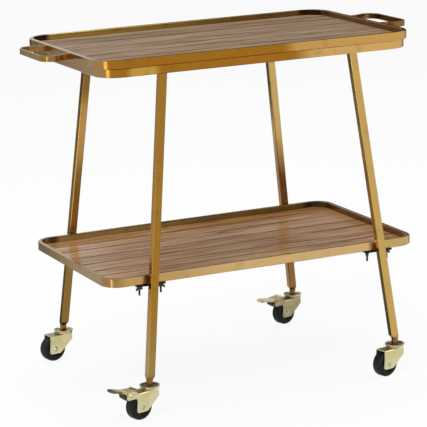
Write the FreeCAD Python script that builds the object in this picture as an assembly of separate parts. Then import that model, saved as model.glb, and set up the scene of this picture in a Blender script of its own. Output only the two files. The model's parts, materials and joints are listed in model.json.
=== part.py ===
"""Rolling bar cart: a lift-off serving tray on a splayed square-tube frame, with a lower
shelf held by wing nuts and four swivel castors, two of them with a foot brake.

Millimetres. +Z is up, the floor is z = 0, the long side runs along X and the front is -Y.
"""
import FreeCAD
import Part
import math
import os
from FreeCAD import Vector

os.makedirs("parts", exist_ok=True)

# ---------------------------------------------------------------- driving dimensions
TRAY_LENGTH = 813.0            # over the rail, without the handles
TRAY_WIDTH = 488.0
TRAY_TOP = 829.5               # top of the tray rail above the floor
TRAY_CORNER = 60.0             # outer radius of the tray rail's corners
RAIL_THICKNESS = 10.0          # flat bar that all three rails are bent from
TRAY_RAIL_HEIGHT = 20.0
FRAME_RAIL_HEIGHT = 20.0
SHELF_RAIL_HEIGHT = 21.0
RAIL_EDGE = 1.2                # bevel along the rails' edges

FRAME_INSET_X = 8.0            # the tray overhangs its frame by this much at each end
FRAME_INSET_Y = 4.5            # and by this much along each side
SHELF_TOP = 326.0              # top of the shelf rail above the floor
SHELF_OVERHANG = 0.5           # shelf beyond the tray at each end
SHELF_CORNER = 44.0

BASE_SHEET = 2.0               # steel sheet that closes each rail underneath
BOARD_THICKNESS = 5.5
BOARD_GAP = 2.4                # dark joint between two boards
BOARD_BEVEL = 0.8
BOARD_FIT = 0.6                # between a board and the rail around it
BOARD_LEAST = 30.0             # the front board is never narrower than this
TRAY_BOARDS = (51.0, 56.0, 82.0, 50.0, 54.0, 66.0, 62.0, 49.0)
SHELF_BOARDS = (56.0, 54.0, 75.0, 63.0, 68.0, 49.0, 53.0, 38.0)

LEG_TUBE = 19.0                # side of the square tube
LEG_WALL = 1.5
LEG_CORNER = 2.2
LEG_INSET_X = 154.5            # leg axis from the frame's end, at the frame's mid-height
LEG_SPLAY_X = 6.42             # degrees the legs lean outwards along X
LEG_SPLAY_Y = 3.89             # and along Y
LEG_TOP_GAP = 2.0              # leg end below the top of its frame rail
NECK_SIDE = 14.4               # swaged end that takes the castor stem
NECK_CORNER = 4.8
NECK_LENGTH = 12.1             # from the castor's race up to the swage
SWAGE_HEIGHT = 8.0             # the taper between neck and full tube
SOCKET_DEPTH = 28.0

SHELF_LEG_GAP = 5.0            # between the shelf rail and the legs' inner faces
BRACKET_LENGTH = 74.0
BRACKET_SHEET = 3.0
BRACKET_LIP = 8.0              # flange reaching inwards past the rail
BRACKET_WEB = 27.0             # width of the block between leg and rail
STUD_RADIUS = 2.5
STUD_SPREAD = 27.0             # each stud from the leg axis
STUD_GRIP = 9.0                # stud length inside the rail
STUD_REACH = 22.5              # stud length below the bracket
NUT_RADIUS = 5.0
NUT_HEIGHT = 8.5
WING_SPAN = 21.0
WING_RISE = 5.0
WING_SHEET = 2.0
NUT_TURNS = (20, -35, 50, 10, -15, 65, 35, -50)   # how far round each nut was left

HANDLE_REACH = 74.0            # how far a handle stands out from the tray rail
HANDLE_HEIGHT = 14.0
HANDLE_THICKNESS = 4.5
HANDLE_ROOT = 74.0             # half the distance between the arms where they meet the rail
HANDLE_SHOULDER = 100.0        # half the distance between the corners before rounding
HANDLE_FLARE = 14.0            # straight start of each arm
HANDLE_FLARE_RADIUS = 40.0
HANDLE_CORNER = 27.0
HANDLE_EDGE = 0.8

CASTOR_TRAIL = 33.5            # wheel axle behind the swivel axis
WHEEL_RADIUS = 31.5
WHEEL_WIDTH = 26.0
TYRE_SHOULDER = 6.5
SHOULDER_FLATS = 4             # narrow bands that make up each rounded shoulder
TYRE_DEPTH = 10.5              # rubber between the tread and the hub's rim
HUB_RIM_WIDTH = 21.0
HUB_WEB = 4.0
HUB_BOSS_RADIUS = 7.5
AXLE_RADIUS = 3.0
RIVET_HEAD = 6.5
RIVET_DOME = 2.4
FORK_SHEET = 2.0
WHEEL_SIDE_GAP = 1.0
WHEEL_TOP_GAP = 2.0
FORK_NOSE = 21.5               # front of the crown from the swivel axis
FORK_TAIL = 47.0               # rear edge of the crown from the swivel axis
FORK_LOBE = 11.5               # depth of the side plates below the axle
FORK_HEEL = 18.0               # side plates' rear edge behind the axle
FORK_SWEEP = 41.0              # slope of the side plates' front edge, in degrees
FORK_BEND = 3.0
RACE_RADIUS = 24.0
RACE_HEIGHT = 3.5
RACE_LIP = 1.6
BALL_RING_RADIUS = 15.0
BALL_RADIUS = 1.8
LOWER_RACE_RADIUS = 22.0
LOWER_RACE_HEIGHT = 3.4
KINGPIN_RADIUS = 4.0
KINGPIN_HEAD = 6.5
STEM_RADIUS = 4.75
RUNNING_FIT = 0.05             # radial clearance of every turning or seated pin

EAR_REACH = 78.0               # rear end of the brake castor's ears
EAR_RISE = 7.0                 # ears above the crown's top
EAR_DROP = 10.5                # and below it
PEDAL_PIVOT_REACH = 66.0       # brake pin behind the swivel axis
PEDAL_PIVOT_DROP = 1.0         # and below the crown's top
PEDAL_PIN_RADIUS = 2.5
PEDAL_SHEET = 1.8
PEDAL_SIDE_GAP = 0.5
PEDAL_LOBE = 6.0
PEDAL_TIP = 117.0
PEDAL_TIP_RISE = 19.5          # above the crown's top, released
PEDAL_STROKE = 8.0             # degrees from released to braked
SHOE_SIDE_GAP = 0.3
BRAKED_GAP = 0.3               # shoe to tyre with the pedal pressed

CASTOR_TURN = {"fl": 195.0, "fr": 194.0, "bl": 190.0, "br": 196.0}
CASTOR_BRAKE = {"fl": 0.0, "br": PEDAL_STROKE}   # how far each foot brake is pressed
CORNERS = {"fl": (-1, -1), "fr": (1, -1), "bl": (-1, 1), "br": (1, 1)}
STANDING_Y = 8.5               # the frame sits this far back, so that frame and turned castors
                               # together are centred on the origin

# ---------------------------------------------------------------- derived sizes
FRAME_LENGTH = TRAY_LENGTH - 2 * FRAME_INSET_X
FRAME_WIDTH = TRAY_WIDTH - 2 * FRAME_INSET_Y
FRAME_TOP = TRAY_TOP - TRAY_RAIL_HEIGHT
FRAME_MIDDLE = FRAME_TOP - FRAME_RAIL_HEIGHT / 2
FRAME_CORNER = TRAY_CORNER - (FRAME_INSET_X + FRAME_INSET_Y) / 2
SHELF_LENGTH = TRAY_LENGTH + 2 * SHELF_OVERHANG
SHELF_BOTTOM = SHELF_TOP - SHELF_RAIL_HEIGHT
LEG_HALF = LEG_TUBE / 2

FORK_HALF = WHEEL_WIDTH / 2 + WHEEL_SIDE_GAP + FORK_SHEET
FORK_TOP = 2 * WHEEL_RADIUS + WHEEL_TOP_GAP + FORK_SHEET
RACE_BOTTOM = FORK_TOP + LOWER_RACE_HEIGHT + 1.0
RACE_TOP = RACE_BOTTOM + RACE_HEIGHT
RACE_FLOOR = RACE_TOP - RACE_LIP
BALL_FLOOR = FORK_TOP + 1.5
NECK_TOP = RACE_TOP + NECK_LENGTH
SWAGE_TOP = NECK_TOP + SWAGE_HEIGHT
HUB_RADIUS = WHEEL_RADIUS - TYRE_DEPTH
AXLE = (CASTOR_TRAIL, WHEEL_RADIUS)
EAR_TOP = FORK_TOP + EAR_RISE
EAR_BOTTOM = FORK_TOP - EAR_DROP
PEDAL_PIVOT = (PEDAL_PIVOT_REACH, FORK_TOP - PEDAL_PIVOT_DROP)
PEDAL_TIP_HEIGHT = FORK_TOP + PEDAL_TIP_RISE


def leg_x(z):
    """Distance of a leg's axis from the cart's middle along X, at height z."""
    top = FRAME_LENGTH / 2 - LEG_INSET_X
    return top + (FRAME_MIDDLE - z) * math.tan(math.radians(LEG_SPLAY_X))


def leg_y(z):
    """The same along Y: the leg's outer face meets the frame rail's inner face."""
    top = FRAME_WIDTH / 2 - RAIL_THICKNESS - LEG_HALF
    return top + (FRAME_MIDDLE - z) * math.tan(math.radians(LEG_SPLAY_Y))


SHELF_WIDTH = 2 * (leg_y(SHELF_TOP) - LEG_HALF - SHELF_LEG_GAP)
CASTOR_X = leg_x(RACE_TOP)
CASTOR_Y = leg_y(RACE_TOP)


# ---------------------------------------------------------------- shared shapes
def save(name, solids):
    """Write one sub-part; a list becomes a group of separate solids."""
    if not isinstance(solids, list):
        solids = [solids]
    shape = solids[0] if len(solids) == 1 else Part.makeCompound(solids)
    shape.translated(Vector(0, STANDING_Y, 0)).exportStep("parts/" + name + ".step")


def rounded_rectangle(length, width, corner, z, x=0.0, y=0.0):
    """Closed wire of four lines and four quarter arcs, centred on (x, y)."""
    half_x = length / 2
    half_y = width / 2
    edges = []
    for turn in range(4):
        angle = math.radians(90 * turn)
        across, along = (half_x, half_y) if turn % 2 == 0 else (half_y, half_x)
        ux = Vector(math.cos(angle), math.sin(angle), 0)
        uy = Vector(-math.sin(angle), math.cos(angle), 0)
        base = Vector(x, y, z)
        low = base + ux * across - uy * (along - corner)
        high = base + ux * across + uy * (along - corner)
        centre = base + ux * (across - corner) + uy * (along - corner)
        mid = centre + (ux + uy).normalize() * corner
        end = centre + uy * corner
        edges.append(Part.makeLine(low, high))
        edges.append(Part.Arc(high, mid, end).toShape())
    return Part.Wire(edges)


def plate(length, width, corner, bottom, height):
    """Flat plate with rounded corners."""
    face = Part.Face(rounded_rectangle(length, width, corner, bottom))
    return face.extrude(Vector(0, 0, height))


def rail(length, width, corner, bottom, height):
    """Flat bar bent into a rounded rectangle; every edge is softened except the one on which
    the base sheet sits."""
    outer = plate(length, width, corner, bottom, height)
    inner = plate(length - 2 * RAIL_THICKNESS, width - 2 * RAIL_THICKNESS,
                  corner - RAIL_THICKNESS, bottom, height)
    ring = outer.cut(inner)
    middle = bottom + height / 2
    soft = [e for e in ring.Edges if e.BoundBox.ZMin > middle]
    soft += [e for e in ring.Edges if e.BoundBox.ZMax < middle and on_outside(e, length, width)]
    return ring.makeChamfer(RAIL_EDGE, soft)


def on_outside(edge, length, width):
    """True for an edge of the outer of the two nested outlines."""
    point = edge.valueAt((edge.FirstParameter + edge.LastParameter) / 2)
    inside_x = abs(point.x) < length / 2 - RAIL_THICKNESS + 1e-6
    inside_y = abs(point.y) < width / 2 - RAIL_THICKNESS + 1e-6
    return not (inside_x and inside_y)


def profile_face(points, y=0.0):
    """Face in the plane y, from (x, z) points; a point with a third value is rounded by it."""
    corners = [Vector(p[0], y, p[1]) for p in points]
    radii = [p[2] if len(p) > 2 else 0.0 for p in points]
    return Part.Face(rounded_polygon(corners, radii))


def rounded_polygon(corners, radii):
    """Closed wire through the corners, each rounded by its own radius."""
    starts, ends, arcs = [], [], []
    count = len(corners)
    for i, corner in enumerate(corners):
        if radii[i] <= 0:
            starts.append(corner)
            ends.append(corner)
            arcs.append(None)
            continue
        first, last, arc = round_corner(corners[i - 1], corner, corners[(i + 1) % count], radii[i])
        starts.append(first)
        ends.append(last)
        arcs.append(arc)
    edges = []
    for i in range(count):
        if arcs[i] is not None:
            edges.append(arcs[i])
        following = starts[(i + 1) % count]
        if ends[i].distanceToPoint(following) > 1e-6:
            edges.append(Part.makeLine(ends[i], following))
    return Part.Wire(edges)


def round_corner(before, corner, after, radius):
    """Tangent points and arc of one rounded corner."""
    back = (before - corner).normalize()
    ahead = (after - corner).normalize()
    half_angle = math.acos(max(-1.0, min(1.0, back.dot(ahead)))) / 2
    setback = radius / math.tan(half_angle)
    bisector = (back + ahead).normalize()
    centre = corner + bisector * (radius / math.sin(half_angle))
    first = corner + back * setback
    last = corner + ahead * setback
    return first, last, Part.Arc(first, centre - bisector * radius, last).toShape()


def prism(points, half_width):
    """Solid with the (x, z) outline, from y = -half_width to +half_width."""
    return profile_face(points, -half_width).extrude(Vector(0, 2 * half_width, 0))


def turned(points):
    """Solid of revolution about Z from (radius, z) points."""
    face = profile_face(points)
    return face.revolve(Vector(0, 0, 0), Vector(0, 0, 1), 360)


def cross_pin(radius, half_length, place):
    """Plain cylinder along Y, centred on (x, z) = place."""
    start = Vector(place[0], -half_length, place[1])
    return Part.makeCylinder(radius, 2 * half_length, start, Vector(0, 1, 0))


def rivet(radius, half_length, head, place):
    """Pin along Y with a domed head at each end."""
    shape = cross_pin(radius, half_length, place)
    for side in (-1, 1):
        profile = profile_face([(0, 0), (head, 0), (head * 0.6, RIVET_DOME), (0, RIVET_DOME)])
        dome = profile.revolve(Vector(0, 0, 0), Vector(0, 0, 1), 360)
        dome.rotate(Vector(0, 0, 0), Vector(1, 0, 0), -90 * side)
        dome.translate(Vector(place[0], side * half_length, place[1]))
        shape = shape.fuse(dome)
    return shape.removeSplitter()


# ---------------------------------------------------------------- tray and shelf decks
def board_spans(inner_width, widths):
    """Front and back edge of each board, laid from the back; the front one is cut to fit."""
    spans = []
    back = inner_width / 2
    while back > -inner_width / 2 + 1e-6:
        front = back - widths[len(spans) % len(widths)]
        if front + inner_width / 2 < BOARD_LEAST:
            front = -inner_width / 2
        spans.append((front, back))
        back = front
    return spans


def boards(length, width, corner, bottom, widths):
    """Bevelled boards side by side, trimmed to the rounded inside of the rail."""
    trim = plate(length - 2 * BOARD_FIT, width - 2 * BOARD_FIT, corner - BOARD_FIT,
                 bottom, BOARD_THICKNESS)
    solids = []
    for front, back in board_spans(width, widths):
        board = Part.makeBox(length, back - front - BOARD_GAP, BOARD_THICKNESS,
                             Vector(-length / 2, front + BOARD_GAP / 2, bottom))
        top = bottom + BOARD_THICKNESS
        long_edges = [e for e in board.Edges
                      if abs(e.BoundBox.ZMin - top) < 1e-6 and e.BoundBox.XLength > length / 2]
        board = board.makeChamfer(BOARD_BEVEL, long_edges)
        solids.append(board.common(trim).Solids[0])
    return solids


def deck(prefix, length, width, corner, bottom, height, widths):
    """Rail, base sheet and boards of the tray or of the shelf."""
    inner_length = length - 2 * RAIL_THICKNESS
    inner_width = width - 2 * RAIL_THICKNESS
    inner_corner = corner - RAIL_THICKNESS
    ring = rail(length, width, corner, bottom, height)
    sheet = plate(inner_length, inner_width, inner_corner, bottom, BASE_SHEET)
    save(prefix + "_base_sheet", sheet)
    save(prefix + "_boards", boards(inner_length, inner_width, inner_corner,
                                    bottom + BASE_SHEET, widths))
    return ring


def handle(side):
    """Bow of flat bar with flared arms, standing out from one end of the tray."""
    start = TRAY_LENGTH / 2
    middle = start + HANDLE_REACH - HANDLE_THICKNESS / 2
    line = [(start, -HANDLE_ROOT), (start + HANDLE_FLARE, -HANDLE_ROOT),
            (middle, -HANDLE_SHOULDER), (middle, HANDLE_SHOULDER),
            (start + HANDLE_FLARE, HANDLE_ROOT), (start, HANDLE_ROOT)]
    bends = [0.0, -HANDLE_FLARE_RADIUS, HANDLE_CORNER, HANDLE_CORNER, -HANDLE_FLARE_RADIUS, 0.0]
    bottom = TRAY_TOP - HANDLE_HEIGHT
    inner = shifted_line(line, bends, HANDLE_THICKNESS / 2)
    outer = shifted_line(line, bends, -HANDLE_THICKNESS / 2)
    around = inner + outer[::-1]
    corners = [Vector(x, y, bottom) for x, y, bend in around]
    band = Part.Face(rounded_polygon(corners, [bend for x, y, bend in around]))
    bow = band.extrude(Vector(0, 0, HANDLE_HEIGHT))
    long_edges = [e for e in bow.Edges
                  if e.BoundBox.ZLength < 1e-6 and e.BoundBox.XMax > start + 1e-3]
    bow = bow.makeChamfer(HANDLE_EDGE, long_edges)
    if side < 0:
        bow.rotate(Vector(0, 0, 0), Vector(0, 0, 1), 180)
    return bow


def shifted_line(line, bends, shift):
    """The line moved sideways to its left; a bend is a radius, positive where it turns left."""
    moved = []
    for i, (x, y) in enumerate(line):
        before = line[i - 1] if i > 0 else None
        after = line[i + 1] if i + 1 < len(line) else None
        normals = []
        if before:
            normals.append(left_of(before, (x, y)))
        if after:
            normals.append(left_of((x, y), after))
        total = sum(normals, Vector(0, 0, 0))
        offset = total * (shift * 2 / total.dot(total)) if len(normals) == 2 else total * shift
        bend = abs(bends[i] - shift) if bends[i] else 0.0
        moved.append((x + offset.x, y + offset.y, bend))
    return moved


def left_of(start, end):
    """Unit vector to the left of the way from start to end."""
    return Vector(start[1] - end[1], end[0] - start[0], 0).normalize()


# ---------------------------------------------------------------- legs and shelf brackets
def leg(sx, sy, top_frame):
    """Splayed square tube, coped to the frame rail, swaged to an upright castor socket."""
    def section(z, side, corner):
        reach = max(z, SWAGE_TOP)
        x, y = (leg_x(reach), leg_y(reach)) if z >= SWAGE_TOP else (CASTOR_X, CASTOR_Y)
        return rounded_rectangle(side, side, corner, z, sx * x, sy * y)

    def slanted(bottom, side, corner):
        rise = Vector(sx * (leg_x(top) - leg_x(bottom)), sy * (leg_y(top) - leg_y(bottom)),
                      top - bottom)
        return Part.Face(section(bottom, side, corner)).extrude(rise)

    top = FRAME_TOP - LEG_TOP_GAP
    tube = slanted(SWAGE_TOP, LEG_TUBE, LEG_CORNER)
    swage = Part.makeLoft([section(NECK_TOP, NECK_SIDE, NECK_CORNER),
                           section(SWAGE_TOP, LEG_TUBE, LEG_CORNER)], True, True)
    neck_foot = Part.Face(section(RACE_FLOOR, NECK_SIDE, NECK_CORNER))
    neck = neck_foot.extrude(Vector(0, 0, NECK_TOP - RACE_FLOOR))
    shape = tube.fuse([swage, neck]).removeSplitter()
    hollow_start = RACE_FLOOR + SOCKET_DEPTH + LEG_TUBE / 2
    bore = slanted(hollow_start, LEG_TUBE - 2 * LEG_WALL, LEG_CORNER / 2)
    socket = Part.makeCylinder(STEM_RADIUS + RUNNING_FIT, SOCKET_DEPTH,
                               Vector(sx * CASTOR_X, sy * CASTOR_Y, RACE_FLOOR))
    return shape.cut(bore).cut(socket).cut(top_frame).Solids[0]


def bracket(sx, sy):
    """Flange under the shelf rail with a block that reaches out to the leg."""
    x = sx * leg_x(SHELF_BOTTOM)
    rail_face = SHELF_WIDTH / 2
    low = SHELF_BOTTOM - BRACKET_SHEET
    inner = rail_face - RAIL_THICKNESS - BRACKET_LIP
    outer = leg_y(SHELF_BOTTOM) - LEG_HALF
    flange = Part.makeBox(BRACKET_LENGTH, outer - inner, BRACKET_SHEET,
                          Vector(-BRACKET_LENGTH / 2, inner, low))
    upright = [e for e in flange.Edges if e.BoundBox.ZLength > BRACKET_SHEET / 2]
    flange = flange.makeChamfer(BRACKET_SHEET, upright)

    def leg_face(z):
        return leg_y(z) - LEG_HALF

    web_top = SHELF_TOP - RAIL_EDGE
    web_outline = [(rail_face, low), (leg_face(low), low),
                   (leg_face(web_top), web_top), (rail_face, web_top)]
    corners = [Vector(-BRACKET_WEB / 2, y, z) for y, z in web_outline]
    web = Part.Face(Part.makePolygon(corners + corners[:1])).extrude(Vector(BRACKET_WEB, 0, 0))
    shape = flange.fuse(web).removeSplitter()
    for offset in (-STUD_SPREAD, STUD_SPREAD):
        shape = shape.cut(stud_hole(offset, rail_face - RAIL_THICKNESS / 2))
    if sy < 0:
        shape.rotate(Vector(0, 0, 0), Vector(0, 0, 1), 180)
    shape.translate(Vector(x, 0, 0))
    return shape


def stud_hole(x, y):
    """Upright clearance hole for one shelf stud, through flange and into the rail."""
    bottom = SHELF_BOTTOM - BRACKET_SHEET
    return Part.makeCylinder(STUD_RADIUS + RUNNING_FIT, BRACKET_SHEET + STUD_GRIP,
                             Vector(x, y, bottom))


def stud_places():
    """Plan position of every shelf stud, two at each leg."""
    x = leg_x(SHELF_BOTTOM)
    y = SHELF_WIDTH / 2 - RAIL_THICKNESS / 2
    return [(sx * x + offset, sy * y) for sx, sy in CORNERS.values()
            for offset in (-STUD_SPREAD, STUD_SPREAD)]


def wing_nut():
    """Turned boss with two raised petals, its seat at z = 0 and hanging down."""
    boss = turned([(STUD_RADIUS + RUNNING_FIT, 0), (NUT_RADIUS, 0),
                   (NUT_RADIUS - 1.2, -NUT_HEIGHT), (STUD_RADIUS + RUNNING_FIT, -NUT_HEIGHT)])
    shape = boss
    for side in (-1, 1):
        inner = side * (NUT_RADIUS - 1.6)
        tip = side * WING_SPAN / 2
        petal = prism([(inner, -2.0), (side * (NUT_RADIUS + 1.5), -3.0),
                       (tip, -NUT_HEIGHT + WING_RISE / 2), (tip * 0.9, -NUT_HEIGHT - WING_RISE / 2),
                       (side * NUT_RADIUS, -NUT_HEIGHT), (inner, -NUT_HEIGHT + 0.5)],
                      WING_SHEET / 2)
        shape = shape.fuse(petal)
    return shape.removeSplitter()


# ---------------------------------------------------------------- castors
def fork_outline(braked):
    """Side view of the pressed fork: x runs back from the swivel axis, z up from the floor."""
    axle_x, axle_z = AXLE
    sole = axle_z - FORK_LOBE
    heel = axle_x + FORK_HEEL
    brow = FORK_TOP - 11.0
    toe = -FORK_NOSE + (brow - sole) / math.tan(math.radians(FORK_SWEEP))
    outline = [(-FORK_NOSE, FORK_TOP), (-FORK_NOSE, brow, 2.0), (toe, sole, 14.0),
               (heel, sole, 7.0)]
    if braked:
        outline += [(FORK_TAIL + 1.0, EAR_BOTTOM - 0.5, 6.0), (EAR_REACH, EAR_BOTTOM, 5.0),
                    (EAR_REACH, EAR_TOP, 6.0), (FORK_TAIL + 6.0, EAR_TOP - 1.0, 6.0),
                    (FORK_TAIL - 2.0, FORK_TOP)]
    else:
        outline += [(FORK_TAIL, FORK_TOP)]
    return outline


def fork(braked):
    """Crown and two side plates pressed from one sheet, with the lower ball race on top."""
    inner_half = FORK_HALF - FORK_SHEET
    shape = prism(fork_outline(braked), FORK_HALF)
    bends = [e for e in shape.Edges
             if e.BoundBox.ZLength < 1e-6 and e.BoundBox.YLength < 1e-6
             and abs(e.BoundBox.ZMin - FORK_TOP) < 1e-6]
    shape = shape.makeFillet(FORK_BEND, bends)
    ceiling = FORK_TOP - FORK_SHEET
    reach = EAR_REACH + 1.0
    inside = Part.makeBox(2 * reach, 2 * inner_half, ceiling, Vector(-reach, -inner_half, 0))
    inner_bends = [e for e in inside.Edges
                   if e.BoundBox.XLength > reach and e.BoundBox.ZMin > FORK_SHEET]
    shape = shape.cut(inside.makeFillet(FORK_BEND - FORK_SHEET, inner_bends))
    if braked:
        between_ears = Part.makeBox(EAR_REACH, 2 * inner_half, EAR_TOP,
                                    Vector(FORK_TAIL, -inner_half, FORK_TOP / 2))
        shape = shape.cut(between_ears)
    nose = Part.makeCylinder(FORK_NOSE, 2 * EAR_TOP)
    back = Part.makeBox(2 * EAR_REACH, 2 * FORK_HALF, 2 * EAR_TOP, Vector(0, -FORK_HALF, 0))
    shape = shape.common(nose.fuse(back))
    shape = shape.fuse(lower_race())
    shape = shape.cut(Part.makeCylinder(KINGPIN_RADIUS + RUNNING_FIT, 2 * FORK_TOP))
    shape = shape.cut(cross_pin(AXLE_RADIUS + RUNNING_FIT, 2 * FORK_HALF, AXLE))
    if braked:
        shape = shape.cut(cross_pin(PEDAL_PIN_RADIUS + RUNNING_FIT, 2 * FORK_HALF, PEDAL_PIVOT))
    return shape.removeSplitter().Solids[0]


def lower_race():
    """Dished ring pressed up from the crown, with a groove for the balls."""
    top = FORK_TOP + LOWER_RACE_HEIGHT
    return turned([(0, FORK_TOP - FORK_SHEET / 2), (FORK_NOSE - 4.0, FORK_TOP - FORK_SHEET / 2),
                   (LOWER_RACE_RADIUS, FORK_TOP + 1.0), (LOWER_RACE_RADIUS, top),
                   (LOWER_RACE_RADIUS - 1.5, top), (BALL_RING_RADIUS + 3.0, BALL_FLOOR),
                   (0, BALL_FLOOR)])


def stem():
    """Dished upper race, the stem that plugs into the leg and the kingpin under the crown."""
    under_crown = FORK_TOP - FORK_SHEET
    stem_top = RACE_FLOOR + SOCKET_DEPTH - 1.0
    return turned([(0, under_crown - 2.5), (KINGPIN_HEAD, under_crown - 2.0),
                   (KINGPIN_HEAD, under_crown - 0.3), (KINGPIN_RADIUS, under_crown - 0.3),
                   (KINGPIN_RADIUS, RACE_BOTTOM), (BALL_RING_RADIUS - 3.0, RACE_BOTTOM + 1.2),
                   (BALL_RING_RADIUS + 3.0, RACE_BOTTOM + 1.2), (RACE_RADIUS - 1.2, RACE_BOTTOM),
                   (RACE_RADIUS, RACE_BOTTOM + 1.0), (RACE_RADIUS, RACE_TOP),
                   (RACE_RADIUS - 2.0, RACE_TOP), (RACE_RADIUS - 4.5, RACE_FLOOR),
                   (STEM_RADIUS, RACE_FLOOR), (STEM_RADIUS - 0.5, stem_top), (0, stem_top)])


def ball_ring():
    """The balls and their cage between the two races, as one rolling ring."""
    inner = BALL_RING_RADIUS - BALL_RADIUS
    outer = BALL_RING_RADIUS + BALL_RADIUS
    top = BALL_FLOOR + 2 * BALL_RADIUS
    return turned([(inner, BALL_FLOOR), (outer, BALL_FLOOR), (outer, top), (inner, top)])


def tyre():
    """Rubber tread with rounded shoulders, turned about the wheel axle."""
    half = WHEEL_WIDTH / 2
    shoulder = []
    for step in range(SHOULDER_FLATS + 1):
        angle = math.pi / 2 * step / SHOULDER_FLATS
        shoulder.append((WHEEL_RADIUS - TYRE_SHOULDER * (1 - math.sin(angle)),
                         half - TYRE_SHOULDER * (1 - math.cos(angle))))
    mirrored = [(r, -z) for r, z in reversed(shoulder)]
    return lay_on_axle(turned([(HUB_RADIUS, half)] + shoulder + mirrored + [(HUB_RADIUS, -half)]))


def hub():
    """Wheel centre: a rim under the tyre, a thin web and a long boss on the axle."""
    boss = WHEEL_WIDTH / 2 + WHEEL_SIDE_GAP / 2
    rim = HUB_RIM_WIDTH / 2
    inner = HUB_RADIUS - 2.5
    bore = AXLE_RADIUS + RUNNING_FIT
    half_profile = [(bore, boss), (HUB_BOSS_RADIUS, boss), (HUB_BOSS_RADIUS, HUB_WEB / 2),
                    (inner, HUB_WEB / 2), (inner, rim), (HUB_RADIUS, rim)]
    mirrored = [(r, -z) for r, z in reversed(half_profile)]
    return lay_on_axle(turned(half_profile + mirrored))


def lay_on_axle(shape):
    """Turn a shape made about Z onto the wheel axle."""
    shape.rotate(Vector(0, 0, 0), Vector(1, 0, 0), 90)
    shape.translate(Vector(AXLE[0], 0, AXLE[1]))
    return shape


def pedal():
    """Pressed foot pedal: a rising channel with a release tab in front and a rounded tip."""
    pivot_x, pivot_z = PEDAL_PIVOT
    half = FORK_HALF - FORK_SHEET - PEDAL_SIDE_GAP
    front = FORK_TAIL - 1.0
    brow = EAR_TOP + 1.5
    crease = (EAR_REACH - 2.0, EAR_TOP + 3.5)
    curl = (PEDAL_TIP - 8.0, PEDAL_TIP_HEIGHT)
    end = (PEDAL_TIP, PEDAL_TIP_HEIGHT - 1.5)
    top_line = [(front, brow + 1.8), (front + 6.0, brow, 4.0), crease + (14.0,),
                curl + (12.0,), end]
    under_line = [(end[0], end[1] - 3.0, 1.2), (curl[0] - 8.0, curl[1] - 7.5, 8.0),
                  (EAR_REACH + 4.0, EAR_TOP - 1.0, 6.0),
                  (pivot_x + PEDAL_LOBE, pivot_z - PEDAL_LOBE, PEDAL_LOBE - 0.5),
                  (pivot_x - PEDAL_LOBE, pivot_z - PEDAL_LOBE, PEDAL_LOBE - 0.5),
                  (pivot_x - PEDAL_LOBE, brow - PEDAL_SHEET, 3.0),
                  (front + 6.0, brow - PEDAL_SHEET, 2.0), (front, brow + 1.8 - PEDAL_SHEET)]
    shape = prism(top_line + under_line, half)
    low = EAR_BOTTOM - PEDAL_SHEET
    hollow = [(0.0, low), (0.0, brow - PEDAL_SHEET), (front + 6.0, brow - PEDAL_SHEET),
              (crease[0], crease[1] - PEDAL_SHEET), (curl[0], curl[1] - 1.2 * PEDAL_SHEET),
              (curl[0] + 3.0, curl[1] - 1.6 * PEDAL_SHEET), (curl[0] + 3.0, low)]
    shape = shape.cut(prism(hollow, half - PEDAL_SHEET))
    plan = [Vector(0, -half, 0), Vector(PEDAL_TIP, -half, 0), Vector(PEDAL_TIP, half, 0),
            Vector(0, half, 0)]
    tip = Part.Face(rounded_polygon(plan, [0.0, half * 0.6, half * 0.6, 0.0]))
    shape = shape.common(tip.extrude(Vector(0, 0, PEDAL_TIP)))
    shape = shape.cut(cross_pin(PEDAL_PIN_RADIUS + RUNNING_FIT, 2 * half, PEDAL_PIVOT))
    return shape.removeSplitter().Solids[0]


def shoe():
    """Rubber block in the pedal's channel; its lower front is cut to the braked tyre."""
    half = FORK_HALF - FORK_SHEET - PEDAL_SIDE_GAP - PEDAL_SHEET - SHOE_SIDE_GAP
    pivot_x, pivot_z = PEDAL_PIVOT
    roof = EAR_TOP - 1.0
    block = prism([(pivot_x - 6.0, roof), (pivot_x - 6.0, pivot_z - 14.5, 1.5),
                   (pivot_x - 1.0, pivot_z - 17.0, 1.5), (EAR_REACH - 1.0, EAR_BOTTOM + 1.5, 4.0),
                   (EAR_REACH + 7.0, roof + 1.0, 1.5), (EAR_REACH + 2.0, roof + 2.0, 1.0)], half)
    tread = cross_pin(WHEEL_RADIUS + BRAKED_GAP, WHEEL_WIDTH, AXLE)
    tread = pressed(tread, -PEDAL_STROKE)
    block = block.cut(tread)
    block = block.cut(cross_pin(PEDAL_PIN_RADIUS + RUNNING_FIT, 2 * half, PEDAL_PIVOT))
    return block.Solids[0]


def pressed(shape, angle):
    """Swing a brake piece down about its pin."""
    shape.rotate(Vector(PEDAL_PIVOT[0], 0, PEDAL_PIVOT[1]), Vector(0, 1, 0), angle)
    return shape


def place_castor(shape, key):
    """Turn a castor piece to its resting direction under its leg."""
    sx, sy = CORNERS[key]
    shape.rotate(Vector(0, 0, 0), Vector(0, 0, 1), CASTOR_TURN[key])
    shape.translate(Vector(sx * CASTOR_X, sy * CASTOR_Y, 0))
    return shape


def castor(key):
    """Every piece of one castor, written as its own sub-part."""
    braked = key in CASTOR_BRAKE
    pieces = {"stem": stem(), "ball_ring": ball_ring(), "fork": fork(braked),
              "axle": rivet(AXLE_RADIUS, FORK_HALF, RIVET_HEAD, AXLE),
              "tyre": tyre(), "hub": hub()}
    if braked:
        pieces["brake_pedal"] = pressed(pedal(), CASTOR_BRAKE[key])
        pieces["brake_shoe"] = pressed(shoe(), CASTOR_BRAKE[key])
        pieces["brake_pin"] = rivet(PEDAL_PIN_RADIUS, FORK_HALF, RIVET_HEAD - 2.0, PEDAL_PIVOT)
    for name, shape in pieces.items():
        save("castor_" + key + "_" + name, place_castor(shape, key))


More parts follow.
